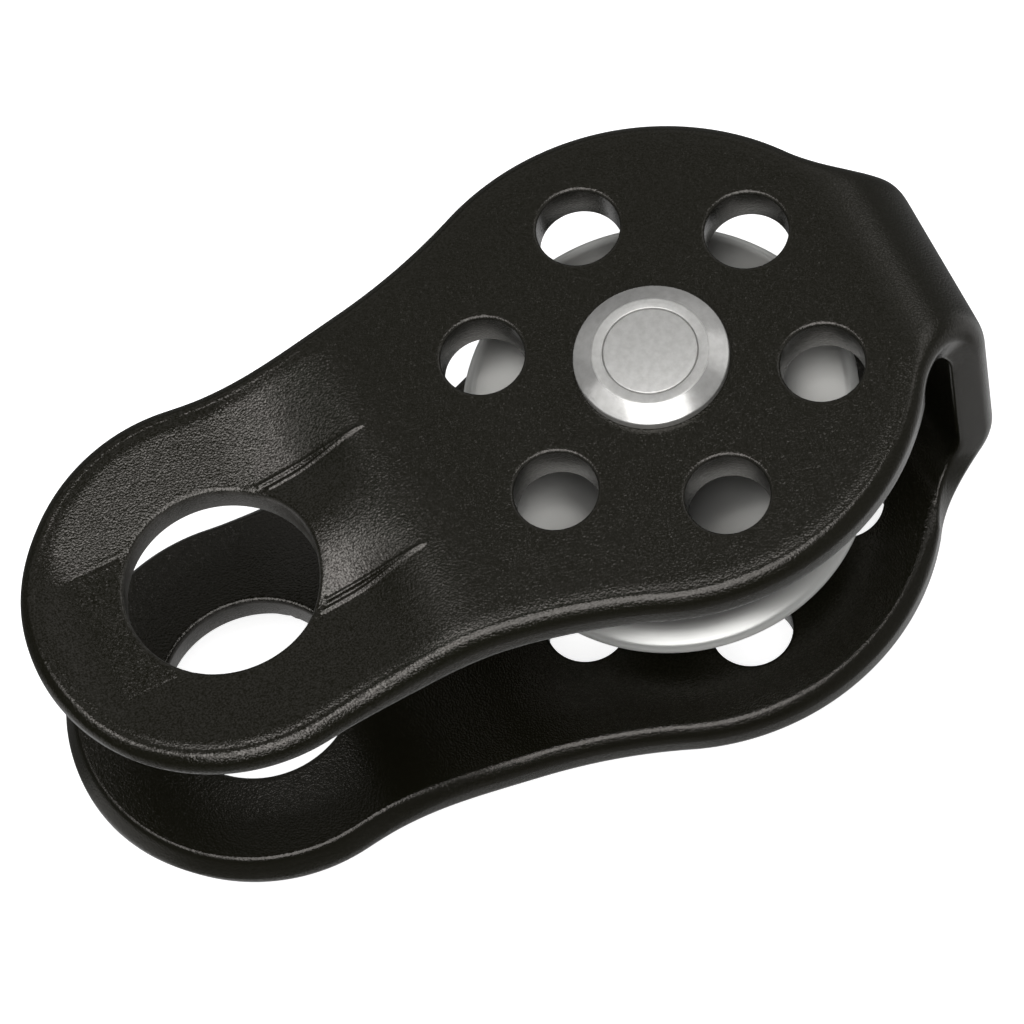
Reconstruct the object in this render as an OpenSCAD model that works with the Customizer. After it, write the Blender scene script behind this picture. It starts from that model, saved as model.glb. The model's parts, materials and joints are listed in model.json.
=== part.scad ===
// Single sheave block: one plate bent into a U, with a ball-bearing sheave on a through pin.
// The origin is the axle's centre, half-way between the cheeks. +Z is the axle, +X points to the bridge,
// and the eye is on the -X side.

/* [Frame plate] */
// Thickness of the bent plate
plate_t = 4.5; // [3.5:0.1:5]
// Clear width between the two cheeks at the sheave
cheek_gap = 24.8; // [24:0.1:28]
// Radius of the round part of each cheek
cheek_r = 25.8; // [25:0.1:28]
// Radius of the hollow waist between cheek and eye end
waist_r = 59; // [50:1:120]

/* [Eye] */
// Distance from the axle to the centre of the eye
eye_x = 45.4; // [44:0.1:52]
// Radius of the eye hole
eye_r = 9.35; // [8:0.05:10]
// Radius of the round eye end
eye_end_r = 19.2; // [17:0.1:21]
// How far each cheek steps inwards at the eye
eye_step = 2; // [0.5:0.1:3]
// Length over which a cheek steps inwards
step_run = 12; // [10:0.5:14]

/* [Bridge] */
// Distance from the axle to the outer face of the bridge
bridge_x = 30.4; // [29:0.1:36]
// Outer radius of the two bridge bends
bend_r = 9.4; // [7:0.1:12]
// Width of the bridge
bridge_w = 20; // [16:0.5:24]
// Radius of the hollow corner between cheek and bridge
shoulder_r = 12; // [6:0.5:13]

/* [Lightening holes] */
// Number of holes in each cheek
hole_n = 6; // [4:1:8]
// Diameter of each hole
hole_d = 8; // [6:0.1:9]
// Radius of the circle that the holes lie on
hole_ring_r = 16.1; // [15.5:0.1:17]

/* [Axle] */
// Diameter of the axle pin
pin_d = 9; // [8.6:0.1:9.4]
// Height of each collar above its cheek
collar_h = 1.7; // [1:0.1:2.5]
// Radius of each collar at its cheek
collar_r = 7.4; // [7:0.1:8]
// Radius of each collar's flat top
collar_top_r = 5.5; // [5.2:0.1:6.4]
// Radius of the collar's body inside the plate
collar_body_r = 6.4; // [6:0.1:6.8]

/* [Sheave] */
// Radius of the sheave over its flanges
sheave_r = 19; // [18:0.1:19.5]
// Width of the sheave over its flanges
sheave_w = 17.2; // [16.8:0.1:18]
// Radius of the sheave at the bottom of its rope groove
tread_r = 14.3; // [13:0.1:15]
// Radius of each flange's rounded rim
rim_r = 0.9; // [0.5:0.05:1.2]

/* [Bearings] */
// Outer diameter of each ball bearing
bearing_d = 20; // [19:0.5:21]
// Width of each ball bearing
bearing_w = 6; // [5.8:0.1:6.4]
// Number of balls in each bearing
ball_n = 8; // [6:1:8]
// Diameter of a ball
ball_d = 3.175; // [3:0.025:3.2]
// Thickness of a bearing shield
shield_t = 0.3; // [0.2:0.05:0.35]

/* [Hidden] */
$fn = 96;
// Gap that lets a cutting shape run clear of the face it cuts
over = 1;
// Room between parts that are pushed together by hand
slip = 0.02;
// Room for a chamfer where two machined edges meet
edge = 0.25;
half_gap = cheek_gap / 2;
half_over = half_gap + plate_t;
pin_r = pin_d / 2;
half_pin = half_over + collar_h;
half_sheave = sheave_w / 2;
bearing_r = bearing_d / 2;
// Middle of each bearing, flush with the sheave's side face
bearing_z = half_sheave - bearing_w / 2;
half_bearing = bearing_w / 2;
// The balls run half-way between the pin and the bearing's outside
pitch_r = (pin_r + bearing_r) / 2;
ball_r = ball_d / 2;
// The tracks are a little rounder than the balls
track_fit = 1.04;
track_r = ball_r * track_fit;
// How far towards the balls' edges the rings' shoulders leave off, as a share of a ball's radius
shoulder_share = 0.79;
inner_shoulder_r = pitch_r - ball_r * shoulder_share;
outer_shoulder_r = pitch_r + ball_r * shoulder_share;
// A shield's seat in the outer ring, its gap round the inner ring, and its depth below the side face
shield_seat = 0.5;
shield_gap = 0.3;
shield_inset = 0.25;
shield_seat_r = outer_shoulder_r + shield_seat;
shield_bore_r = inner_shoulder_r + shield_gap;
shield_z = half_bearing - shield_inset - shield_t;
// Half the cage's wall, its room behind the shield, and its height past the balls' middle
cage_half_wall = 0.5;
cage_gap = 0.35;
cage_lip = 0.4;
eye_end_x = eye_x + eye_end_r;
alloy = [0.78, 0.79, 0.8];
steel = [0.66, 0.67, 0.68];
coat = [0.15, 0.14, 0.13];

// Upper or lower side of the block: flip() draws its children mirrored below the middle plane
module flip(down) {
    mirror([0, 0, down ? 1 : 0]) children();
}

// Ring with chamfered outer corners, from z = low to z = high
module chamfered_ring(inner, outer, low, high) {
    rotate_extrude()
        polygon([[inner, low], [outer - edge, low], [outer, low + edge],
            [outer, high - edge], [outer - edge, high], [inner, high]]);
}

// ---- frame plate ----

// Fills the hollow between cheek and eye end with an arc that touches both
module waist() {
    from_cheek = cheek_r + waist_r;
    from_eye = eye_end_r + waist_r;
    arc_x = (from_eye ^ 2 - from_cheek ^ 2 - eye_x ^ 2) / (2 * eye_x);
    arc_y = sqrt(from_cheek ^ 2 - arc_x ^ 2);
    cheek_touch = [arc_x, arc_y] * cheek_r / from_cheek;
    eye_touch = [-eye_x, 0] + [arc_x + eye_x, arc_y] * eye_end_r / from_eye;
    difference() {
        polygon([[0, 0], cheek_touch, eye_touch, [-eye_x, 0]]);
        translate([arc_x, arc_y]) circle(waist_r);
    }
}

// Fills the hollow corner between cheek and bridge with an arc that touches both
module shoulder() {
    from_cheek = cheek_r + shoulder_r;
    arc_y = bridge_w / 2 + shoulder_r;
    arc_x = sqrt(from_cheek ^ 2 - arc_y ^ 2);
    cheek_touch = [arc_x, arc_y] * cheek_r / from_cheek;
    difference() {
        polygon([[0, 0], cheek_touch, [arc_x, bridge_w / 2], [arc_x, 0]]);
        translate([arc_x, arc_y]) circle(shoulder_r);
    }
}

// Column whose section is the plate seen along the axle
module outline_column(tall) {
    linear_extrude(tall, center = true) circle(cheek_r);
    linear_extrude(tall, center = true) translate([-eye_x, 0]) circle(eye_end_r);
    for (side = [0, 1]) mirror([0, side, 0]) {
        linear_extrude(tall, center = true) waist();
        linear_extrude(tall, center = true) shoulder();
    }
    linear_extrude(tall, center = true)
        translate([0, -bridge_w / 2]) square([bridge_x + over, bridge_w]);
}

// The block's side view, filled: half is its height above the middle, face_x its bridge end
module side_block(half, face_x, corner_r, wide) {
    eye_half = half - eye_step;
    step_x = -(eye_x - eye_r);
    corner_x = face_x - corner_r;
    corner_z = half - corner_r;
    rotate([90, 0, 0]) linear_extrude(wide, center = true)
        polygon([[-eye_end_x - over, -eye_half], [step_x, -eye_half], [step_x + step_run, -half],
            [corner_x, -half], [face_x, -corner_z], [face_x, corner_z], [corner_x, half],
            [step_x + step_run, half], [step_x, eye_half], [-eye_end_x - over, eye_half]]);
    for (side = [-1, 1])
        translate([corner_x, 0, side * corner_z]) rotate([90, 0, 0])
            cylinder(h = wide, r = corner_r, center = true);
}

module frame() {
    tall = 2 * half_over + 2 * over;
    wide = 2 * cheek_r + 2 * over;
    color(coat) difference() {
        intersection() {
            side_block(half_over, bridge_x, bend_r, wide);
            outline_column(tall);
        }
        side_block(half_gap, bridge_x - plate_t, bend_r - plate_t, wide + over);
        translate([-eye_x, 0, 0]) cylinder(h = tall, r = eye_r, center = true);
        cylinder(h = tall, r = collar_body_r, center = true);
        for (i = [0 : hole_n - 1]) rotate((i + 0.5) * 360 / hole_n)
            translate([hole_ring_r, 0, 0]) cylinder(h = tall, d = hole_d, center = true);
    }
}

// ---- axle ----

module axle_pin() {
    color(steel) chamfered_ring(0, pin_r, -half_pin, half_pin);
}

// Flanged bush pressed into a cheek: its chamfered flange is the bright collar around the pin's end
module collar(down) {
    flip(down) color(steel) rotate_extrude()
        polygon([[pin_r + slip, half_gap], [collar_body_r - slip, half_gap],
            [collar_body_r - slip, half_over], [collar_r, half_over],
            [collar_r, half_over + collar_h / 2], [collar_top_r, half_over + collar_h],
            [pin_r + edge, half_over + collar_h], [pin_r + slip, half_over + collar_h - edge]]);
}

// Distance ring between a bearing's inner ring and its cheek
module spacer(down) {
    flip(down) color(steel)
        chamfered_ring(pin_r + slip, inner_shoulder_r, half_sheave, half_gap);
}

// Distance sleeve between the two inner rings
module inner_spacer() {
    half = half_sheave - bearing_w;
    color(steel) chamfered_ring(pin_r + slip, inner_shoulder_r, -half, half);
}

// ---- sheave ----

module sheave() {
    tip = [sheave_r - rim_r, half_sheave - rim_r];
    // groove circle that touches the tread and both rims
    rise = tip[0] - tread_r;
    groove_r = (rise ^ 2 + tip[1] ^ 2 - rim_r ^ 2) / (2 * (rise + rim_r));
    groove_x = tread_r + groove_r;
    touch = tip + [groove_x - tip[0], -tip[1]] * rim_r / (groove_r + rim_r);
    land = half_sheave - bearing_w;
    color(alloy) rotate_extrude() {
        difference() {
            polygon([[outer_shoulder_r, -land], [bearing_r + slip, -land],
                [bearing_r + slip, -half_sheave + edge], [bearing_r + edge, -half_sheave],
                [tip[0], -half_sheave], [tip[0], -tip[1]], [touch[0], -touch[1]],
                touch, tip, [tip[0], half_sheave], [bearing_r + edge, half_sheave],
                [bearing_r + slip, half_sheave - edge], [bearing_r + slip, land],
                [outer_shoulder_r, land]]);
            translate([groove_x, 0]) circle(groove_r);
        }
        for (side = [-1, 1]) translate([tip[0], side * tip[1]]) circle(rim_r);
    }
}

// ---- ball bearings ----

module outer_ring(down) {
    flip(down) translate([0, 0, bearing_z]) color(steel) difference() {
        chamfered_ring(outer_shoulder_r, bearing_r, -half_bearing, half_bearing);
        rotate_extrude() translate([pitch_r, 0]) circle(track_r);
        for (side = [0, 1]) mirror([0, 0, side])
            translate([0, 0, shield_z]) cylinder(h = bearing_w, r = shield_seat_r);
    }
}

module inner_ring(down) {
    flip(down) translate([0, 0, bearing_z]) color(steel) difference() {
        chamfered_ring(pin_r + slip, inner_shoulder_r, -half_bearing, half_bearing);
        rotate_extrude() translate([pitch_r, 0]) circle(track_r);
    }
}

// Draws its children at each ball's place
module at_balls() {
    for (i = [0 : ball_n - 1]) rotate(i * 360 / ball_n) translate([pitch_r, 0, 0]) children();
}

module balls(down) {
    flip(down) translate([0, 0, bearing_z]) color(steel) at_balls() sphere(ball_r);
}

// Crown cage: a ring on one side of the balls, with a pocket around each
module cage(down) {
    back = shield_z - cage_gap;
    tall = back + cage_lip;
    flip(down) translate([0, 0, bearing_z]) color("tan") difference() {
        translate([0, 0, -back]) cylinder(h = tall, r = pitch_r + cage_half_wall);
        translate([0, 0, -back - over]) cylinder(h = tall + 2 * over, r = pitch_r - cage_half_wall);
        at_balls() sphere(track_r);
    }
}

// Thin washer clipped into the outer ring's seat; it doesn't touch the inner ring
module shield(down, inside) {
    flip(down) translate([0, 0, bearing_z]) mirror([0, 0, inside ? 1 : 0])
        translate([0, 0, shield_z]) color(steel) difference() {
            cylinder(h = shield_t, r = shield_seat_r - slip);
            translate([0, 0, -over]) cylinder(h = shield_t + 2 * over, r = shield_bore_r);
        }
}

frame();
axle_pin();
collar(false);  // collar_upper
collar(true);  // collar_lower
spacer(false);  // spacer_upper
spacer(true);  // spacer_lower
inner_spacer();
sheave();
outer_ring(false);  // outer_ring_upper
outer_ring(true);  // outer_ring_lower
inner_ring(false);  // inner_ring_upper
inner_ring(true);  // inner_ring_lower
cage(false);  // cage_upper
cage(true);  // cage_lower
balls(false);  // balls_upper
balls(true);  // balls_lower
shield(false, false);  // shield_upper_outside
shield(false, true);  // shield_upper_inside
shield(true, false);  // shield_lower_outside
shield(true, true);  // shield_lower_inside
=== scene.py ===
"""Single sheave block: a black bent plate with a round eye, and a silver sheave on a flush pin.

The CAD frame gives the places. The plate, sheave, collars and pin are made again here with rounded
edges and turned faces; the bearings, the sleeve and the spacers stay as the CAD made them.
"""

import json
import math

import bpy
import numpy as np
from mathutils import Matrix, Quaternion, Vector
from mathutils.geometry import delaunay_2d_cdt


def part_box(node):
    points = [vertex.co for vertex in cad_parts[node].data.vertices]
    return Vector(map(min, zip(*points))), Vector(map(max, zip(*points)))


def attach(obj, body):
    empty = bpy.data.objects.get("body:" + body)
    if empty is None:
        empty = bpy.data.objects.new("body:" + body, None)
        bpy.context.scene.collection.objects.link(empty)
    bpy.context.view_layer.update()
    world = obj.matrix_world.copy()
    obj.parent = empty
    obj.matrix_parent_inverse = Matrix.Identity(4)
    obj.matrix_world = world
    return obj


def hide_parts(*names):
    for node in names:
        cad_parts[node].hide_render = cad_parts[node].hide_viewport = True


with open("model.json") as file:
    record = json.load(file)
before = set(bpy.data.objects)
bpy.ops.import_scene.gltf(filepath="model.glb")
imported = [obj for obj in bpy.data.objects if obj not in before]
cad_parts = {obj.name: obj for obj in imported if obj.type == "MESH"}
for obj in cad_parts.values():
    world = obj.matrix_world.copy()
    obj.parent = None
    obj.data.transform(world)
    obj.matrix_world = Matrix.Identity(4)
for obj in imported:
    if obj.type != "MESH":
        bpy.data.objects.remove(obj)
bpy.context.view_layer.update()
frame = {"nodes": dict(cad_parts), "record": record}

MM = 0.001


# ---- sizes, in millimetres; the first ones come from the CAD frame ----

def cad_box(node):
    """A node's lowest and highest corner, in millimetres."""
    low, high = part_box(node)
    return np.array(low) / MM, np.array(high) / MM


def mount(name):
    """The record's mount of that name."""
    return next(m for m in frame["record"]["mounts"] if m["name"] == name)


plate_low, plate_high = cad_box("frame")
HALF_OVER = plate_high[2]
CHEEK_R = plate_high[1]
BRIDGE_X = plate_high[0]
EYE_X = -mount("eye")["pos_m"][0] / MM
EYE_R = mount("eye")["dims"]["r_mm"]
EYE_END_R = -plate_low[0] - EYE_X

PLATE_T = 4.5
WAIST_R = 59.0
BEND_R = 9.4
BRIDGE_HALF = 10.0
SHOULDER_R = 12.0
HOLE_R = 4.0
HOLE_RING_R = 16.1
HOLES = 6
COLLAR_BORE_R = 6.4

# The pressed eye: it starts at STEP_START and is whole at STEP_END
STEP_START = -24.2
STEP_END = -40.6
EYE_STEP = 2.0
RIB_HALF = 7.0
RIB_TIP = -27.0
RIB_FULL = -35.0
RIB_FADE = -54.0
RIB_FADE_RUN = 8.0
RIB_GONE = -60.0
RIB_RISE = 1.3
DISH = 1.4
DISH_FADE = -58.0

# Two fine ridges run along each edge of the rib, and are faint past the eye
RIDGE_HEIGHT = 0.2
RIDGE_WIDTH = 0.18
RIDGE_GAP = 0.38
RIDGE_START = RIB_TIP + 0.3
RIDGE_WHOLE = RIB_TIP - 0.9
RIDGE_FAINT = 0.08

# The outer face falls a little before its rounded edge, more at the eye than on the cheek
CROWN_SMALL = 0.06
CROWN_LARGE = 0.16
CROWN_GROWS = (-32.0, -42.0)

# The edges of the bend are rounded over a longer run, (run, drop), than those of the cheek
BEND_OUTSIDE = (2.9, 1.7)
BEND_INSIDE = (0.6, 0.6)
EDGE_CHANGES = (18.0, 24.5)

# Spacing and counts of the plate's mesh; seeds stay clear of the edges and of the rib lines
OUTLINE_STEP = 0.6
SEED_STEP = 0.7
SEED_CLEAR = 0.45
RIB_BAND = 1.1
EYE_POINTS = 128
HOLE_POINTS = 72
BORE_POINTS = 96

# The sheave: its bore holds two bearings, one against each side of a narrower land
TIP_R = 0.9
TREAD_R = 14.3
SHEAVE_BORE_R = 10.02
LAND_R = 8.504
BEARING_WIDE = 6.0

# The collars: a chamfer runs from the end of the straight side up to the top face
COLLAR_SIDE = 0.85
COLLAR_TOP_R = 5.5
FIT_GAP = 0.02

# How far the coat is rubbed off the small holes' rims; it is all gone in the eye
HOLE_WEAR = 0.35

COAT_COLOR = (0.0058, 0.0056, 0.003)
SIDE_COLOR = (0.4, 0.395, 0.38)


# ---- small helpers ----

def smooth(x, start, end):
    """0 at start, 1 at end, with no corner at either."""
    u = np.clip((x - start) / (end - start), 0.0, 1.0)
    return u * u * (3 - 2 * u)


def add_piece(name, points, faces, body, node, material):
    """Makes a mesh from points in millimetres, which stands for a CAD node and rides on its body."""
    mesh = bpy.data.meshes.new(name)
    mesh.from_pydata((np.asarray(points) * MM).tolist(), [], faces)
    mesh.validate()
    mesh.shade_smooth()
    mesh.materials.append(material)
    piece = bpy.data.objects.new(name, mesh)
    bpy.context.scene.collection.objects.link(piece)
    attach(piece, body)
    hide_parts(node)
    return piece


# ---- the plate's outline ----

class Outline:
    """The plate's edge on its flat blank, from the bridge's middle round the eye end and back.

    Stations run along the plate, and are x on the flat cheek. Each arc keeps its centre when
    the edge moves in, so every inset ring has the same number of points.
    """

    def __init__(self, step):
        bend_start = BRIDGE_X - BEND_R
        self.middle = bend_start + BEND_R * math.pi / 2 + HALF_OVER - BEND_R
        from_cheek = CHEEK_R + WAIST_R
        from_eye = EYE_END_R + WAIST_R
        waist_x = (from_eye**2 - from_cheek**2 - EYE_X**2) / (2 * EYE_X)
        waist_y = math.sqrt(from_cheek**2 - waist_x**2)
        shoulder_y = BRIDGE_HALF + SHOULDER_R
        shoulder_x = math.sqrt((CHEEK_R + SHOULDER_R) ** 2 - shoulder_y**2)
        at_shoulder = math.atan2(shoulder_y, shoulder_x)
        at_cheek = math.atan2(waist_y, waist_x)
        at_eye = math.atan2(waist_y, waist_x + EYE_X)
        # centre, radius, +1 where the radius shrinks as the edge moves in, first and last angle
        self.arcs = [
            ((shoulder_x, shoulder_y), SHOULDER_R, -1, 1.5 * math.pi, at_shoulder + math.pi),
            ((0.0, 0.0), CHEEK_R, 1, at_shoulder, at_cheek),
            ((waist_x, waist_y), WAIST_R, -1, at_cheek + math.pi, at_eye + math.pi),
            ((-EYE_X, 0.0), EYE_END_R, 1, at_eye, math.pi),
        ]
        self.shoulder_x = shoulder_x
        self.step = step

    def half(self, inset):
        """The +Y half of the ring, from the bridge's middle to the eye end's tip."""
        count = max(2, round((self.middle - self.shoulder_x) / self.step))
        line = np.linspace(self.middle, self.shoulder_x, count, endpoint=False)
        points = [np.c_[line, np.full(count, BRIDGE_HALF - inset)]]
        for (cx, cy), radius, sign, first, last in self.arcs:
            count = max(3, round(radius * abs(last - first) / self.step))
            angle = np.linspace(first, last, count, endpoint=False)
            reach = radius - sign * inset
            points.append(np.c_[cx + reach * np.cos(angle), cy + reach * np.sin(angle)])
        points.append([[-EYE_X - EYE_END_R + inset, 0.0]])
        return np.vstack(points)

    def ring(self, inset):
        """The whole edge at an inset; its ends lie on the seam at the bridge's middle."""
        half = self.half(inset)
        return np.vstack([half, half[-2::-1] * [1, -1]])


# ---- the plate's two faces ----

def cheek_drop(s, y):
    """How far the outer face of a cheek lies below its flat part, on the pressed eye."""
    step = EYE_STEP * smooth(s, STEP_START, STEP_END)
    pressed = smooth(s, RIB_TIP, RIB_FULL)
    across = np.abs(y) - RIB_HALF
    lobe = np.clip(across / (EYE_END_R - RIB_HALF), 0, 1)
    dish = DISH * pressed * (1 - lobe) * smooth(s, -EYE_X - EYE_END_R, DISH_FADE)
    before_fade = smooth(s, RIB_FADE, RIB_FADE + RIB_FADE_RUN)
    rib = RIB_RISE * pressed * before_fade
    rib = rib * np.where(across < 0, 1 - (y / RIB_HALF) ** 2, 0)
    line = smooth(s, RIDGE_START, RIDGE_WHOLE) * smooth(s, RIB_GONE, RIB_FADE)
    line = line * (RIDGE_FAINT + (1 - RIDGE_FAINT) * before_fade)
    apart = RIDGE_GAP * smooth(s, RIB_TIP, RIB_FULL)
    ridge = np.exp(-(((across - apart) / RIDGE_WIDTH) ** 2))
    ridge = np.maximum(ridge, np.exp(-(((across + apart) / RIDGE_WIDTH) ** 2)))
    return step + dish - rib - RIDGE_HEIGHT * line * ridge


def inner_drop(s):
    """How far the inner face of a cheek lies below its flat part."""
    return EYE_STEP * smooth(s, STEP_START, STEP_END)


def bend_point(s, y, depth):
    """A point of the bent part, depth below the outer face."""
    start = BRIDGE_X - BEND_R
    turn = np.clip((s - start) / BEND_R, 0, math.pi / 2)
    past = np.maximum(s - start - BEND_R * math.pi / 2, 0)
    reach = BEND_R - depth
    x = start + reach * np.sin(turn)
    z = HALF_OVER - BEND_R + reach * np.cos(turn) - past
    return np.stack([x, y, z], axis=-1)


def place(s, y, from_outer, from_inner):
    """Bends the blank: a point sits from_outer below the outer face, or from_inner above the
    inner one, whichever is nearer.
    """
    s = np.asarray(s, float)
    y = np.asarray(y, float)
    outer = np.stack([s, y, HALF_OVER - cheek_drop(s, y) - from_outer], axis=-1)
    inner = np.stack([s, y, HALF_OVER - PLATE_T - inner_drop(s) + from_inner], axis=-1)
    flat = np.where((from_outer <= from_inner)[..., None], outer, inner)
    bent = bend_point(s, y, np.minimum(from_outer, PLATE_T - from_inner))
    return np.where((s <= BRIDGE_X - BEND_R)[..., None], flat, bent)


class Plate:
    """The upper half of the bent plate, built ring by ring on the flat blank."""

    CROWN = [(3.1, 0.0), (2.9, 0.0), (2.6, 0.05), (2.3, 0.2), (2.0, 0.5), (1.8, 0.75),
             (1.64, 0.96), (1.55, 1.0), (1.48, 0.99), (1.42, 1.0)]
    ROUND = [(1.42, 0.0), (1.28, 0.015), (1.1, 0.06), (0.95, 0.13), (0.85, 0.2), (0.7, 0.32),
             (0.55, 0.45), (0.4, 0.59), (0.27, 0.74), (0.15, 0.93), (0.06, 1.16), (0.01, 1.4),
             (0.0, 1.6)]
    SOFT = [(1.42, 0.0), (1.28, 0.035), (1.1, 0.14), (0.95, 0.3), (0.85, 0.43), (0.7, 0.66),
            (0.55, 0.92), (0.4, 1.16), (0.27, 1.4), (0.15, 1.64), (0.06, 1.85), (0.01, 2.05),
            (0.0, 2.2)]
    OUTSIDE = [(i, CROWN_SMALL * d, CROWN_LARGE * d) for i, d in CROWN]
    OUTSIDE += [(i, CROWN_SMALL + d, CROWN_LARGE + d) for i, d in ROUND[1:]]
    INSIDE = [(i, 0.0, 0.0) for i, _ in CROWN]
    INSIDE += [(i, d, e) for (i, d), (_, e) in zip(ROUND[1:], SOFT[1:])]
    HOLE_EDGE = [(i, d, d, d) for i, d in
                 ((0.42, 0.0), (0.3, 0.0), (0.2, 0.03), (0.1, 0.1), (0.03, 0.2), (0.0, 0.32))]
    EYE_EDGE = [(i, d, d, d) for i, d in
                ((0.6, 0.0), (0.45, 0.0), (0.32, 0.03), (0.19, 0.1), (0.09, 0.2), (0.02, 0.35),
                 (0.0, 0.5))]
    SHARP = [(0.0, 0.0, 0.0, 0.0)]

    def __init__(self):
        self.points = []
        self.faces = []
        self.outside = [(*row, round_depth(row[0], *BEND_OUTSIDE)) for row in self.OUTSIDE]
        self.inside_edge = [(*row, round_depth(row[0], *BEND_INSIDE)) for row in self.INSIDE]
        self.outline = Outline(OUTLINE_STEP)
        self.rims = self.make_rims()
        self.flat_rings = [np.asarray(ring(outside[0][0])) for ring, outside, _, _ in self.rims]

    def make_rims(self):
        """Every edge: its ring at an inset, its outside and inside rows, and whether it closes."""
        rims = [(self.outline.ring, self.outside, self.inside_edge, False),
                (circles(-EYE_X, 0, EYE_R, EYE_POINTS), self.EYE_EDGE, self.EYE_EDGE, True)]
        rims += [(circles(x, y, HOLE_R, HOLE_POINTS), self.HOLE_EDGE, self.HOLE_EDGE, True)
                 for x, y in hole_places()]
        rims.append((circles(0, 0, COLLAR_BORE_R, BORE_POINTS), self.SHARP, self.SHARP, True))
        return rims

    def add(self, xy, from_outer, from_inner):
        """Adds points of the blank at these depths, and gives their indices."""
        xy = np.asarray(xy, float)
        start = len(self.points)
        deep = np.broadcast_to(np.asarray(from_outer, float), len(xy))
        high = np.broadcast_to(np.asarray(from_inner, float), len(xy))
        self.points.extend(place(xy[:, 0], xy[:, 1], deep, high))
        return list(range(start, start + len(xy)))

    def join(self, one, two, closed):
        """Faces between two rows of as many points."""
        count = len(one) if closed else len(one) - 1
        for i in range(count):
            j = (i + 1) % len(one)
            self.faces.append((one[j], one[i], two[i], two[j]))

    def wall(self, ring, outside, inside, closed):
        """Rounds over from the outer face, goes down the wall and rounds into the inner face.

        The rows of both edges are inset, then the depth on the cheek, at the eye and on the bend.
        """
        rows = []
        for outer, profile in ((True, outside), (False, inside[::-1])):
            for inset, cheek, at_eye, at_bend in profile:
                xy = ring(inset)
                deep = cheek + (at_eye - cheek) * smooth(xy[:, 0], *CROWN_GROWS)
                deep = deep + (at_bend - deep) * smooth(xy[:, 0], *EDGE_CHANGES)
                away = PLATE_T - deep
                rows.append(self.add(xy, *((deep, away) if outer else (away, deep))))
        for one, two in zip(rows, rows[1:]):
            self.join(one, two, closed)
        return rows[0], rows[-1]

    def fill(self, loops, lines, seeds, outer):
        """Triangulates one face between the edge rings; loops are the rings' indices."""
        flat = [p for ring in self.flat_rings + lines for p in ring]
        edges = []
        start = 0
        for ring in self.flat_rings:
            count = len(ring)
            edges += [(start + i, start + (i + 1) % count) for i in range(count)]
            start += count
        for line in lines:
            edges += [(start + i, start + i + 1) for i in range(len(line) - 1)]
            start += len(line)
        flat += list(seeds)
        points, _, faces, origin, _, _ = delaunay_2d_cdt(
            [Vector(p) for p in flat], edges, [], 0, 1e-5)
        known = [i for loop in loops for i in loop]
        index = {}
        fresh = []
        for i, sources in enumerate(origin):
            old = [j for j in sources if j < len(known)]
            if old:
                index[i] = known[old[0]]
            else:
                fresh.append(i)
        depths = (0, PLATE_T) if outer else (PLATE_T, 0)
        new = self.add([points[i][:] for i in fresh], *depths)
        index.update(zip(fresh, new))
        for face in faces:
            mid = sum((points[i] for i in face), Vector((0, 0))) / len(face)
            if self.inside(mid):
                corners = [index[i] for i in face]
                self.faces.append(corners if outer else corners[::-1])

    def inside(self, p):
        """Whether a point of the blank lies on the flat face, clear of every bore."""
        near = 0.01
        if math.hypot(p.x + EYE_X, p.y) < EYE_R + self.EYE_EDGE[0][0] - near:
            return False
        if math.hypot(p.x, p.y) < COLLAR_BORE_R - near:
            return False
        for x, y in hole_places():
            if math.hypot(p.x - x, p.y - y) < HOLE_R + self.HOLE_EDGE[0][0] - near:
                return False
        return self.edge_contains(p)

    def edge_contains(self, p):
        """Whether the outer edge's ring goes round the point, by counting crossings."""
        x, y = p
        a = self.flat_rings[0]
        b = np.roll(a, -1, axis=0)
        crosses = (a[:, 1] > y) != (b[:, 1] > y)
        at = a[:, 0] + (y - a[:, 1]) * (b[:, 0] - a[:, 0]) / np.where(crosses, b[:, 1] - a[:, 1], 1)
        return bool(np.sum(crosses & (at > x)) % 2)

    def seeds(self):
        """Grid points that stay clear of the rings and of the rib lines."""
        s = np.arange(-EYE_X - EYE_END_R, self.outline.middle, SEED_STEP)
        y = np.arange(-CHEEK_R, CHEEK_R, SEED_STEP)
        grid = np.array(np.meshgrid(s, y)).reshape(2, -1).T
        gap = self.outline.middle - grid[:, 0]
        for x, y in np.vstack(self.flat_rings):
            gap = np.minimum(gap, np.hypot(grid[:, 0] - x, grid[:, 1] - y))
        keep = gap > SEED_CLEAR
        near_rib = np.abs(np.abs(grid[:, 1]) - RIB_HALF) < RIB_BAND
        keep &= ~(near_rib & (grid[:, 0] < RIB_TIP + 1))
        return [tuple(p) for p in grid[keep] if self.inside(Vector(p))]


def round_depth(inset, run, drop):
    """Depth at an inset of an edge that starts softly, run from the wall, and drops by drop."""
    share = max(run - inset, 0) / run
    return drop * (1 - math.sqrt(1 - share**2.5))


def hole_places():
    """The centres of the small holes round the axle."""
    return [(HOLE_RING_R * math.cos(a), HOLE_RING_R * math.sin(a))
            for a in (math.radians((i + 0.5) * 360 / HOLES) for i in range(HOLES))]


def circles(cx, cy, radius, count):
    """A bore's ring at any inset. It runs clockwise, so that the wall faces into the hole."""
    angle = -np.arange(count) * 2 * math.pi / count

    def ring(inset):
        reach = radius + inset
        return np.c_[cx + reach * np.cos(angle), cy + reach * np.sin(angle)]

    return ring


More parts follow.
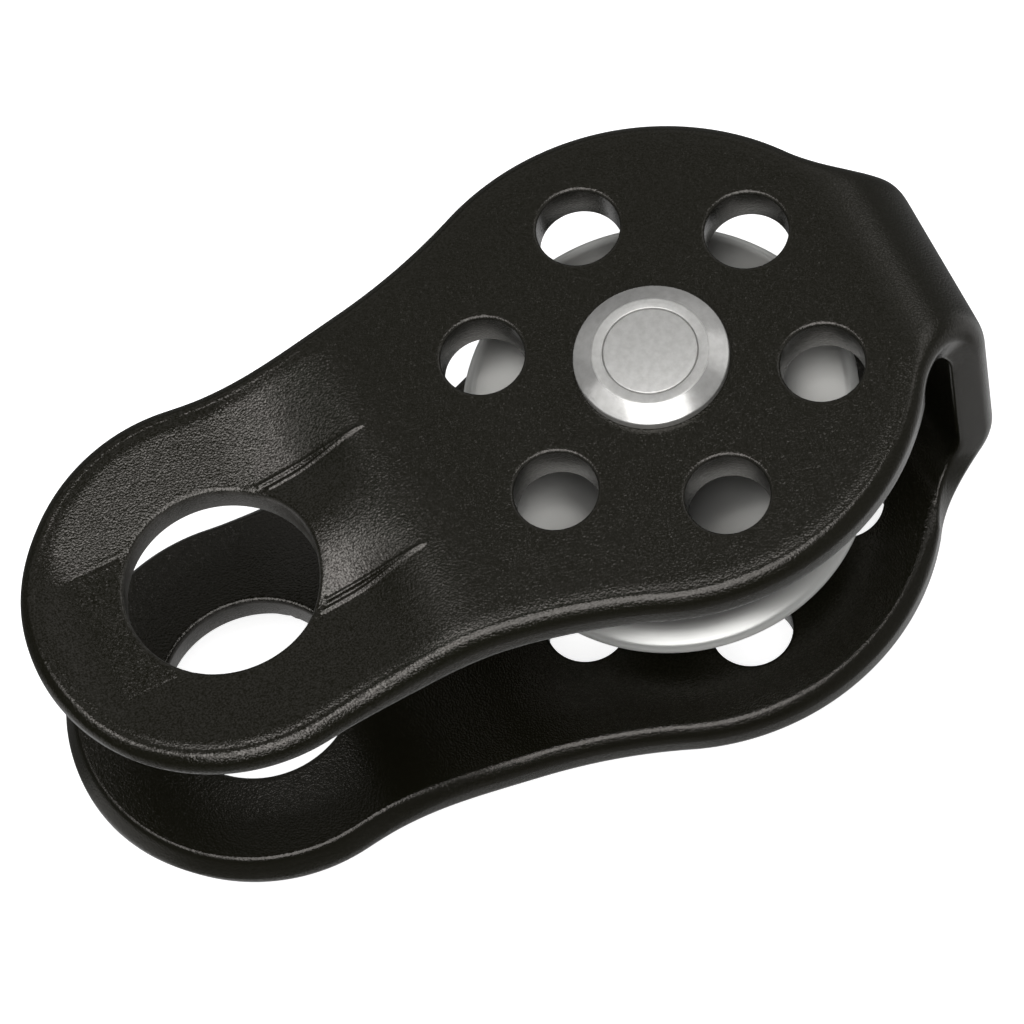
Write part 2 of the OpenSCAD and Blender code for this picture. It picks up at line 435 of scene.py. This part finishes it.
def rib_lines():
    """Rows of points along both rib lines, closely spaced across, so that the ridge is sharp."""
    lines = []
    across = np.arange(-9, 10) / 10
    clear_r = EYE_R + 1.0
    start = RIB_TIP + 0.6
    step = 0.4
    for side in (-1, 1):
        for offset in across:
            y = side * (RIB_HALF + offset)
            gap = math.sqrt(clear_r**2 - y * y)
            for first, last in ((start, -EYE_X + gap), (-EYE_X - gap, RIB_GONE)):
                count = max(2, round(abs(first - last) / step))
                s = np.linspace(first, last, count)
                lines.append(np.c_[s, np.full(count, y)])
    return lines


def make_plate(material):
    """Both halves of the plate: the lower one mirrors the upper one and shares its seam."""
    plate = Plate()
    loops = [plate.wall(*rim) for rim in plate.rims]
    seeds = plate.seeds()
    plate.fill([top for top, _ in loops], rib_lines(), seeds, True)
    plate.fill([low for _, low in loops], [], seeds, False)
    points = np.array(plate.points)
    count = len(points)
    seam = np.abs(points[:, 2]) < 1e-6
    lower = points * [1, 1, -1]
    index = np.where(seam, np.arange(count), np.arange(count) + count)
    faces = [tuple(f) for f in plate.faces]
    faces += [tuple(int(index[i]) for i in reversed(f)) for f in plate.faces]
    every = np.vstack([points, lower])
    used = sorted({i for f in faces for i in f})
    renumber = {old: new for new, old in enumerate(used)}
    faces = [tuple(renumber[i] for i in f) for f in faces]
    piece = add_piece("bent_plate", every[used], faces, "block", "frame", material)
    worn = piece.data.attributes.new("worn", "FLOAT", "POINT")
    worn.data.foreach_set("value", bore_wear(*every[used].T))


def bore_wear(x, y, z):
    """How far the coat is rubbed off, 0 to 1: all of the eye's wall, and the small holes' rims."""
    past_eye = np.abs(np.hypot(x + EYE_X, y) - EYE_R)
    past_holes = [np.abs(np.hypot(x - cx, y - cy) - HOLE_R) for cx, cy in hole_places()]
    past_hole = np.min(past_holes, axis=0)
    near_top = 1 - smooth(HALF_OVER - np.abs(z), 0.3, 1.5)
    on_hole = 1 - smooth(past_hole, 0.05, 0.35)
    on_eye = 1 - smooth(past_eye, 0.02, 0.3)
    return np.maximum(on_eye, HOLE_WEAR * near_top * on_hole)


# ---- turned parts ----

def rounded(corners, segments=6):
    """Corners are (r, z, radius of the corner); gives the points of the rounded profile."""
    out = []
    count = len(corners)
    for i, (r, z, radius) in enumerate(corners):
        here = Vector((r, z))
        if radius == 0:
            out.append(here[:])
            continue
        back = (Vector(corners[i - 1][:2]) - here).normalized()
        on = (Vector(corners[(i + 1) % count][:2]) - here).normalized()
        half = back.angle(on) / 2
        run = radius / math.tan(half)
        centre = here + (back + on).normalized() * (radius / math.sin(half))
        first = here + back * run - centre
        last = here + on * run - centre
        sweep = first.angle_signed(last)
        for j in range(segments + 1):
            turn = Matrix.Rotation(-sweep * j / segments, 2)
            out.append((centre + turn @ first)[:])
    return out


def lathe(name, profile, body, node, material, turns=256):
    """Turns a closed profile of (r, z) points about the axle; points on the axle close it."""
    angle = np.arange(turns) * 2 * math.pi / turns
    points = []
    rows = []
    for r, z in profile:
        start = len(points)
        if r < 1e-9:
            points.append((0, 0, z))
            rows.append([start] * turns)
        else:
            points.extend(np.c_[r * np.cos(angle), r * np.sin(angle), np.full(turns, z)])
            rows.append(list(range(start, start + turns)))
    faces = []
    for one, two in zip(rows, rows[1:] + rows[:1]):
        if one[0] == one[1] and two[0] == two[1]:
            continue
        for i in range(turns):
            j = (i + 1) % turns
            corners = [one[i], one[j], two[j], two[i]]
            faces.append(tuple(dict.fromkeys(corners)))
    piece = add_piece(name, points, faces, body, node, material)
    piece.data.set_sharp_from_angle(angle=math.radians(40))


# ---- materials ----

def principled(name, color, metallic, roughness):
    """A Principled material, given together with its shader node."""
    made = bpy.data.materials.new(name)
    made.use_nodes = True
    shader = made.node_tree.nodes["Principled BSDF"]
    shader.inputs["Base Color"].default_value = (*color, 1)
    shader.inputs["Metallic"].default_value = metallic
    shader.inputs["Roughness"].default_value = roughness
    return made, shader


class Nodes:
    """Short calls for the nodes of one material."""

    def __init__(self, made):
        self.tree = made.node_tree

    def new(self, kind, **settings):
        """A node of that kind, with its settings."""
        node = self.tree.nodes.new(kind)
        for key, value in settings.items():
            setattr(node, key, value)
        return node

    def mix(self, factor, first, second):
        """Colours mixed by a factor; each is a triple or a socket."""
        node = self.new("ShaderNodeMix", data_type="RGBA")
        self.link(factor, node.inputs["Factor"])
        for name, color in (("A", first), ("B", second)):
            if isinstance(color, tuple):
                node.inputs[name].default_value = (*color, 1)
            else:
                self.link(color, node.inputs[name])
        return node.outputs["Result"]

    def split(self, vector):
        """A vector's X, Y and Z sockets."""
        node = self.new("ShaderNodeSeparateXYZ")
        self.link(vector, node.inputs["Vector"])
        return node.outputs

    def link(self, output, socket):
        """Joins an output to an input."""
        self.tree.links.new(output, socket)

    def noise(self, vector, scale, detail, rough):
        """Noise from 0 to 1; scale is in waves per metre on the piece."""
        node = self.new("ShaderNodeTexNoise")
        node.inputs["Scale"].default_value = scale
        node.inputs["Detail"].default_value = detail
        node.inputs["Roughness"].default_value = rough
        self.link(vector, node.inputs["Vector"])
        return node.outputs["Fac"]

    def math(self, operation, first, second=None):
        """One operation on sockets or plain numbers."""
        node = self.new("ShaderNodeMath", operation=operation)
        for socket, value in zip(node.inputs, (first, second)):
            if value is None:
                continue
            if isinstance(value, (int, float)):
                socket.default_value = value
            else:
                self.link(value, socket)
        return node.outputs["Value"]

    def range(self, value, low, high, to_low, to_high):
        """Maps low..high to to_low..to_high, clamped."""
        node = self.new("ShaderNodeMapRange")
        for key, number in zip(("From Min", "From Max", "To Min", "To Max"),
                               (low, high, to_low, to_high)):
            node.inputs[key].default_value = number
        self.link(value, node.inputs["Value"])
        return node.outputs["Result"]

    def bump(self, height, distance, strength, normal=None):
        """Raises the surface by up to distance, in metres."""
        node = self.new("ShaderNodeBump")
        node.inputs["Distance"].default_value = distance
        node.inputs["Strength"].default_value = strength
        self.link(height, node.inputs["Height"])
        if normal is not None:
            self.link(normal, node.inputs["Normal"])
        return node.outputs["Normal"]

    def round_axle(self):
        """The direction of a lathe's marks."""
        return self.new("ShaderNodeTangent", direction_type="RADIAL", axis="Z").outputs["Tangent"]

    def place(self):
        """The place on the piece, in metres."""
        return self.new("ShaderNodeTexCoord").outputs["Object"]


def coat_material():
    """Black coat with a fine leathery grain."""
    made, shader = principled("black_coat", COAT_COLOR, 0.0, 0.2)
    shader.inputs["Specular Tint"].default_value = (1.0, 0.95, 0.9, 1)
    n = Nodes(made)
    at = n.place()
    cells = n.new("ShaderNodeTexVoronoi", feature="F1")
    cells.inputs["Scale"].default_value = 4800
    n.link(at, cells.inputs["Vector"])
    grain = n.math("SUBTRACT", n.noise(at, 4600, 2.0, 0.6), cells.outputs["Distance"])
    fine = n.noise(at, 9000, 2.0, 0.5)
    normal = n.bump(grain, 0.000017, 1.0)
    normal = n.bump(fine, 0.00001, 1.0, normal)
    n.link(normal, shader.inputs["Normal"])
    # the grain is deepest outside on the pressed eye, where the plate was stretched
    x, _, z = n.split(at)
    depth = n.range(x, -30.5 * MM, -25.5 * MM, 0.32, 0.15)
    inner_z = (HALF_OVER - PLATE_T - 1) * MM
    outside = n.range(n.math("ABSOLUTE", z), inner_z, inner_z + MM, 0.3, 1.0)
    depth = n.math("MULTIPLY", depth, outside)
    speckle = n.range(n.noise(at, 5600, 1.0, 0.5), 0.34, 0.66, -1.0, 1.0)
    speckle = n.math("ADD", n.math("MULTIPLY", speckle, depth), 0.5)
    n.link(speckle, shader.inputs["Specular IOR Level"])
    # bare, scuffed edges of the bores
    worn = n.new("ShaderNodeAttribute", attribute_name="worn").outputs["Fac"]
    patches = n.range(n.noise(at, 500, 3.0, 0.6), 0.35, 0.65, 0.5, 1.0)
    worn = n.math("MULTIPLY", worn, patches)
    n.link(n.mix(worn, COAT_COLOR, (0.05, 0.048, 0.044)), shader.inputs["Base Color"])
    matt = n.range(fine, 0.3, 0.7, 0.13, 0.19)
    matt = n.math("ADD", matt, n.math("MULTIPLY", worn, 0.25))
    n.link(matt, shader.inputs["Roughness"])
    return made


def turned_place(n):
    """Radius from the axle and height, as sockets, and both as one vector."""
    x, y, z = n.split(n.place())
    squares = n.math("ADD", n.math("MULTIPLY", x, x), n.math("MULTIPLY", y, y))
    radius = n.math("SQRT", squares)
    ring = n.new("ShaderNodeCombineXYZ")
    n.link(radius, ring.inputs["X"])
    n.link(z, ring.inputs["Y"])
    return radius, z, ring.outputs["Vector"]


def sheave_material():
    """Turned alloy: matt side faces and a slightly smoother groove; the groove's colour is darkened
    as painted shade and the rim is lightened as a painted highlight.
    """
    made, shader = principled("turned_alloy", SIDE_COLOR, 0.6, 0.45)
    n = Nodes(made)
    at = n.place()
    radius, z, ring = turned_place(n)
    rim_r, _, half = cad_box("sheave")[1] * MM
    # 1 on the flat side faces, 0 in the groove and on the rims
    side = n.range(n.math("ABSOLUTE", z), half - 0.4 * MM, half - 0.2 * MM, 0.0, 1.0)
    side = n.math("MULTIPLY", side, n.range(radius, rim_r - 1.4 * MM, rim_r - 0.9 * MM, 1.0, 0.0))
    # painted light: the groove is coloured darker as painted shade, growing lighter towards the rim
    # as a painted highlight
    painted_rim_highlight_mask = n.range(radius, rim_r - 2.2 * MM, rim_r - 0.6 * MM, 0.0, 1.0)
    painted_groove_shade_rim_highlight = n.mix(painted_rim_highlight_mask, (0.16, 0.158, 0.152), (0.62, 0.62, 0.6))
    n.link(n.mix(side, painted_groove_shade_rim_highlight, SIDE_COLOR), shader.inputs["Base Color"])
    n.link(n.range(side, 0, 1, 0.5, 0.8), shader.inputs["Metallic"])
    normal = n.bump(n.noise(ring, 3000, 3.0, 0.6), 0.000008, 0.7)
    n.link(normal, shader.inputs["Normal"])
    marks = n.range(n.noise(at, 1500, 3.0, 0.6), 0.3, 0.7, 0.28, 0.32)
    matt = n.math("ADD", marks, n.math("MULTIPLY", side, 0.12))
    n.link(matt, shader.inputs["Roughness"])
    n.link(n.round_axle(), shader.inputs["Tangent"])
    n.link(n.math("MULTIPLY", side, 0.75), shader.inputs["Anisotropic"])
    return made


def axle_material():
    """Stainless steel with a matt, faintly mottled end face, and a brighter cut on the chamfer."""
    made, shader = principled("turned_steel", (0.5, 0.495, 0.48), 0.62, 0.4)
    n = Nodes(made)
    radius, _, ring = turned_place(n)
    lines = n.noise(ring, 5200, 3.0, 0.6)
    mottle = n.noise(n.place(), 1400, 4.0, 0.6)
    patches = n.range(mottle, 0.35, 0.65, 0.0, 1.0)
    tone = n.mix(patches, (0.47, 0.465, 0.45), (0.55, 0.545, 0.53))
    n.link(tone, shader.inputs["Base Color"])
    normal = n.bump(lines, 0.00001, 0.6)
    normal = n.bump(mottle, 0.00001, 0.5, normal)
    n.link(normal, shader.inputs["Normal"])
    matt = n.range(lines, 0.3, 0.7, 0.38, 0.48)
    cut = n.range(radius, COLLAR_TOP_R * MM, (COLLAR_TOP_R + 0.15) * MM, 1.0, 0.5)
    n.link(n.math("MULTIPLY", matt, cut), shader.inputs["Roughness"])
    return made


def turned_material(name, color, roughness, marks):
    """Bright turned metal; marks is the number of circular marks per metre of radius."""
    made, shader = principled(name, color, 1.0, roughness)
    n = Nodes(made)
    _, _, ring = turned_place(n)
    lines = n.noise(ring, marks, 3.0, 0.6)
    n.link(n.bump(lines, 0.000012, 0.6), shader.inputs["Normal"])
    matt = n.range(lines, 0.3, 0.7, roughness * 0.8, roughness * 1.2)
    n.link(matt, shader.inputs["Roughness"])
    n.link(n.round_axle(), shader.inputs["Tangent"])
    shader.inputs["Anisotropic"].default_value = 0.6
    return made


def ball_material():
    """Polished steel with the faintest haze."""
    made, shader = principled("ball_steel", (0.8, 0.8, 0.8), 1.0, 0.08)
    n = Nodes(made)
    haze = n.noise(n.place(), 2500, 3.0, 0.6)
    n.link(n.range(haze, 0.3, 0.7, 0.05, 0.12), shader.inputs["Roughness"])
    return made


def cage_material():
    """Moulded plastic with a fine matt grain."""
    made, shader = principled("cage_plastic", (0.5, 0.4, 0.25), 0.0, 0.5)
    n = Nodes(made)
    grain = n.noise(n.place(), 3500, 3.0, 0.6)
    n.link(n.bump(grain, 0.00001, 0.6), shader.inputs["Normal"])
    n.link(n.range(grain, 0.3, 0.7, 0.42, 0.58), shader.inputs["Roughness"])
    return made


COAT = coat_material()
STEEL = axle_material()
ALLOY = sheave_material()
BEARING = turned_material("ground_steel", (0.5, 0.5, 0.5), 0.25, 6000)
SHIELD = turned_material("pressed_steel", (0.4, 0.4, 0.4), 0.32, 3000)
BALL = ball_material()
CAGE = cage_material()

CARRIED = {
    STEEL: ("spacer_upper", "spacer_lower", "inner_spacer"),
    BEARING: ("outer_ring_upper", "outer_ring_lower", "inner_ring_upper", "inner_ring_lower"),
    BALL: ("balls_upper", "balls_lower"),
    CAGE: ("cage_upper", "cage_lower"),
    SHIELD: ("shield_upper_outside", "shield_upper_inside",
             "shield_lower_outside", "shield_lower_inside"),
}
for carried_material, nodes in CARRIED.items():
    for node in nodes:
        for material_slot in frame["nodes"][node].material_slots:
            material_slot.material = carried_material


# ---- pieces ----

def make_sheave():
    """A rope groove of one arc that runs into a round tip at each rim."""
    rim, _, half = cad_box("sheave")[1]
    land = half - BEARING_WIDE
    tip_x, tip_z = rim - TIP_R, half - TIP_R
    rise = tip_x - TREAD_R
    groove_r = (rise**2 + tip_z**2 - TIP_R**2) / (2 * (rise + TIP_R))
    groove_x = TREAD_R + groove_r
    start = math.atan2(tip_z, tip_x - groove_x)
    groove = [(groove_x + groove_r * math.cos(a), groove_r * math.sin(a))
              for a in np.linspace(start, 2 * math.pi - start, 72)]
    up = [(tip_x + TIP_R * math.cos(a), tip_z + TIP_R * math.sin(a))
          for a in np.linspace(math.pi / 2, start - math.pi, 16)[:-1]]
    corners = [(LAND_R, 0, 0), (LAND_R, land, 0), (SHEAVE_BORE_R, land, 0),
               (SHEAVE_BORE_R, half, 0.25), (tip_x, half, 0)]
    upper_side = rounded(corners)[1:-1]
    profile = upper_side + up + groove + mirrored(up) + mirrored(upper_side)
    lathe("turned_sheave", profile, "sheave", "sheave", ALLOY, 360)


def mirrored(profile):
    """The profile's mirror image below the mid-plane, in reverse."""
    return [(r, -z) for r, z in reversed(profile)]


def make_axle():
    """The pin with its softened ends, and a chamfered collar round each."""
    pin_r, _, pin_top = cad_box("axle_pin")[1]
    corners = [(0, pin_top, 0), (pin_r, pin_top, 0.16), (pin_r, 0, 0), (0, 0, 0)]
    end = rounded(corners, 5)[:-2]
    lathe("turned_pin", end + mirrored(end), "block", "axle_pin", STEEL)
    inside = HALF_OVER - PLATE_T
    bore_r = pin_r + FIT_GAP
    body_r = COLLAR_BORE_R - FIT_GAP
    for name, sign in (("upper", 1), ("lower", -1)):
        node = "collar_" + name
        low, high = cad_box(node)
        wide = high[0]
        top = max(abs(low[2]), abs(high[2]))
        corners = [(bore_r, inside, 0), (body_r, inside, 0), (body_r, HALF_OVER, 0),
                   (wide, HALF_OVER, 0.08), (wide, HALF_OVER + COLLAR_SIDE, 0.2),
                   (COLLAR_TOP_R, top, 0.06), (bore_r, top, 0.14)]
        profile = [(r, sign * z) for r, z in rounded(corners, 5)]
        lathe("turned_collar_" + name, profile[::sign], "block", node, STEEL)


make_plate(COAT)
make_sheave()
make_axle()


# ---- floor, light and camera ----

def add_floor():
    """A pale floor at the pin's lower end, which polished faces don't reflect."""
    size = 1.5
    level = -cad_box("axle_pin")[1][2] * MM
    mesh = bpy.data.meshes.new("floor")
    corners = [(-size, -size, level), (size, -size, level), (size, size, level), (-size, size, level)]
    mesh.from_pydata(corners, [], [(0, 1, 2, 3)])
    floor = bpy.data.objects.new("floor", mesh)
    bpy.context.scene.collection.objects.link(floor)
    made, shader = principled("pale_floor", (0.7, 0.7, 0.7), 0.0, 0.9)
    shader.inputs["Emission Color"].default_value = (1, 1, 1, 1)
    shader.inputs["Emission Strength"].default_value = 0.85
    mesh.materials.append(made)
    floor.visible_glossy = False


def add_light(name, azimuth, elevation, distance, size, power, shift=0.0, roll=0.0):
    """An area light seen from the object at the azimuth and elevation, in degrees, facing it."""
    a, e = math.radians(azimuth), math.radians(elevation)
    toward = Vector((math.cos(e) * math.cos(a), math.cos(e) * math.sin(a), math.sin(e)))
    data = bpy.data.lights.new(name, "AREA")
    data.shape = "RECTANGLE"
    data.size, data.size_y = size
    data.energy = power
    light = bpy.data.objects.new(name, data)
    light.location = toward * distance + Vector((shift, 0, 0))
    turn = toward.to_track_quat("Z", "Y") @ Quaternion((0, 0, 1), math.radians(roll))
    light.rotation_euler = turn.to_euler()
    bpy.context.scene.collection.objects.link(light)


def add_camera():
    """The camera looks down at the aim point from the near side, over a long lens."""
    azimuth = math.radians(-102.994)
    elevation = math.radians(63.134)
    roll = math.radians(-13.955)
    distance = 0.6515
    aim = Vector((-0.0166, 0.0002, 0))
    toward = Vector((math.cos(elevation) * math.cos(azimuth),
                     math.cos(elevation) * math.sin(azimuth), math.sin(elevation)))
    data = bpy.data.cameras.new("camera")
    data.lens, data.sensor_width = 238.52, 36
    camera = bpy.data.objects.new("camera", data)
    turn = toward.to_track_quat("Z", "Y").to_matrix()
    turn = turn @ Matrix.Rotation(roll, 3, "Z")
    camera.matrix_world = Matrix.Translation(aim + toward * distance) @ turn.to_4x4()
    bpy.context.scene.collection.objects.link(camera)
    bpy.context.scene.camera = camera


def add_world():
    """Dim studio walls: bright in a band below the horizon, nearly dark above it."""
    world = bpy.data.worlds.new("studio")
    world.use_nodes = True
    nodes = Nodes(world)
    x, y, z = nodes.split(nodes.new("ShaderNodeTexCoord").outputs["Generated"])
    background = world.node_tree.nodes["Background"]
    background.inputs["Color"].default_value = (1, 1, 1, 1)
    above = nodes.range(z, -0.25, 0.05, 0, 1)
    front = nodes.range(y, -0.45, -0.2, 0.2, 0.6)
    low = nodes.math("MULTIPLY", front, nodes.range(y, 0.3, 0.45, 1.0, 0.2))
    high = nodes.range(x, 0.1, 0.6, 0.08, 0.2)
    both = nodes.new("ShaderNodeMix", data_type="FLOAT")
    nodes.link(above, both.inputs["Factor"])
    nodes.link(low, both.inputs["A"])
    nodes.link(high, both.inputs["B"])
    nodes.link(both.outputs["Result"], background.inputs["Strength"])
    bpy.context.scene.world = world


add_floor()
add_world()
add_light("top_softbox", -90, 74, 0.8, (0.66, 0.9), 6.8, shift=-0.12, roll=-16)
add_light("back_softbox", 75, 42, 0.8, (1.4, 0.62), 0.62)
add_light("left_softbox", 164, 62, 0.8, (0.42, 0.44), 0.75, shift=-0.03, roll=16)
add_light("right_softbox", 8, 38, 0.8, (0.4, 0.3), 0.36)
add_camera()
bpy.context.scene.view_settings.view_transform = "Standard"
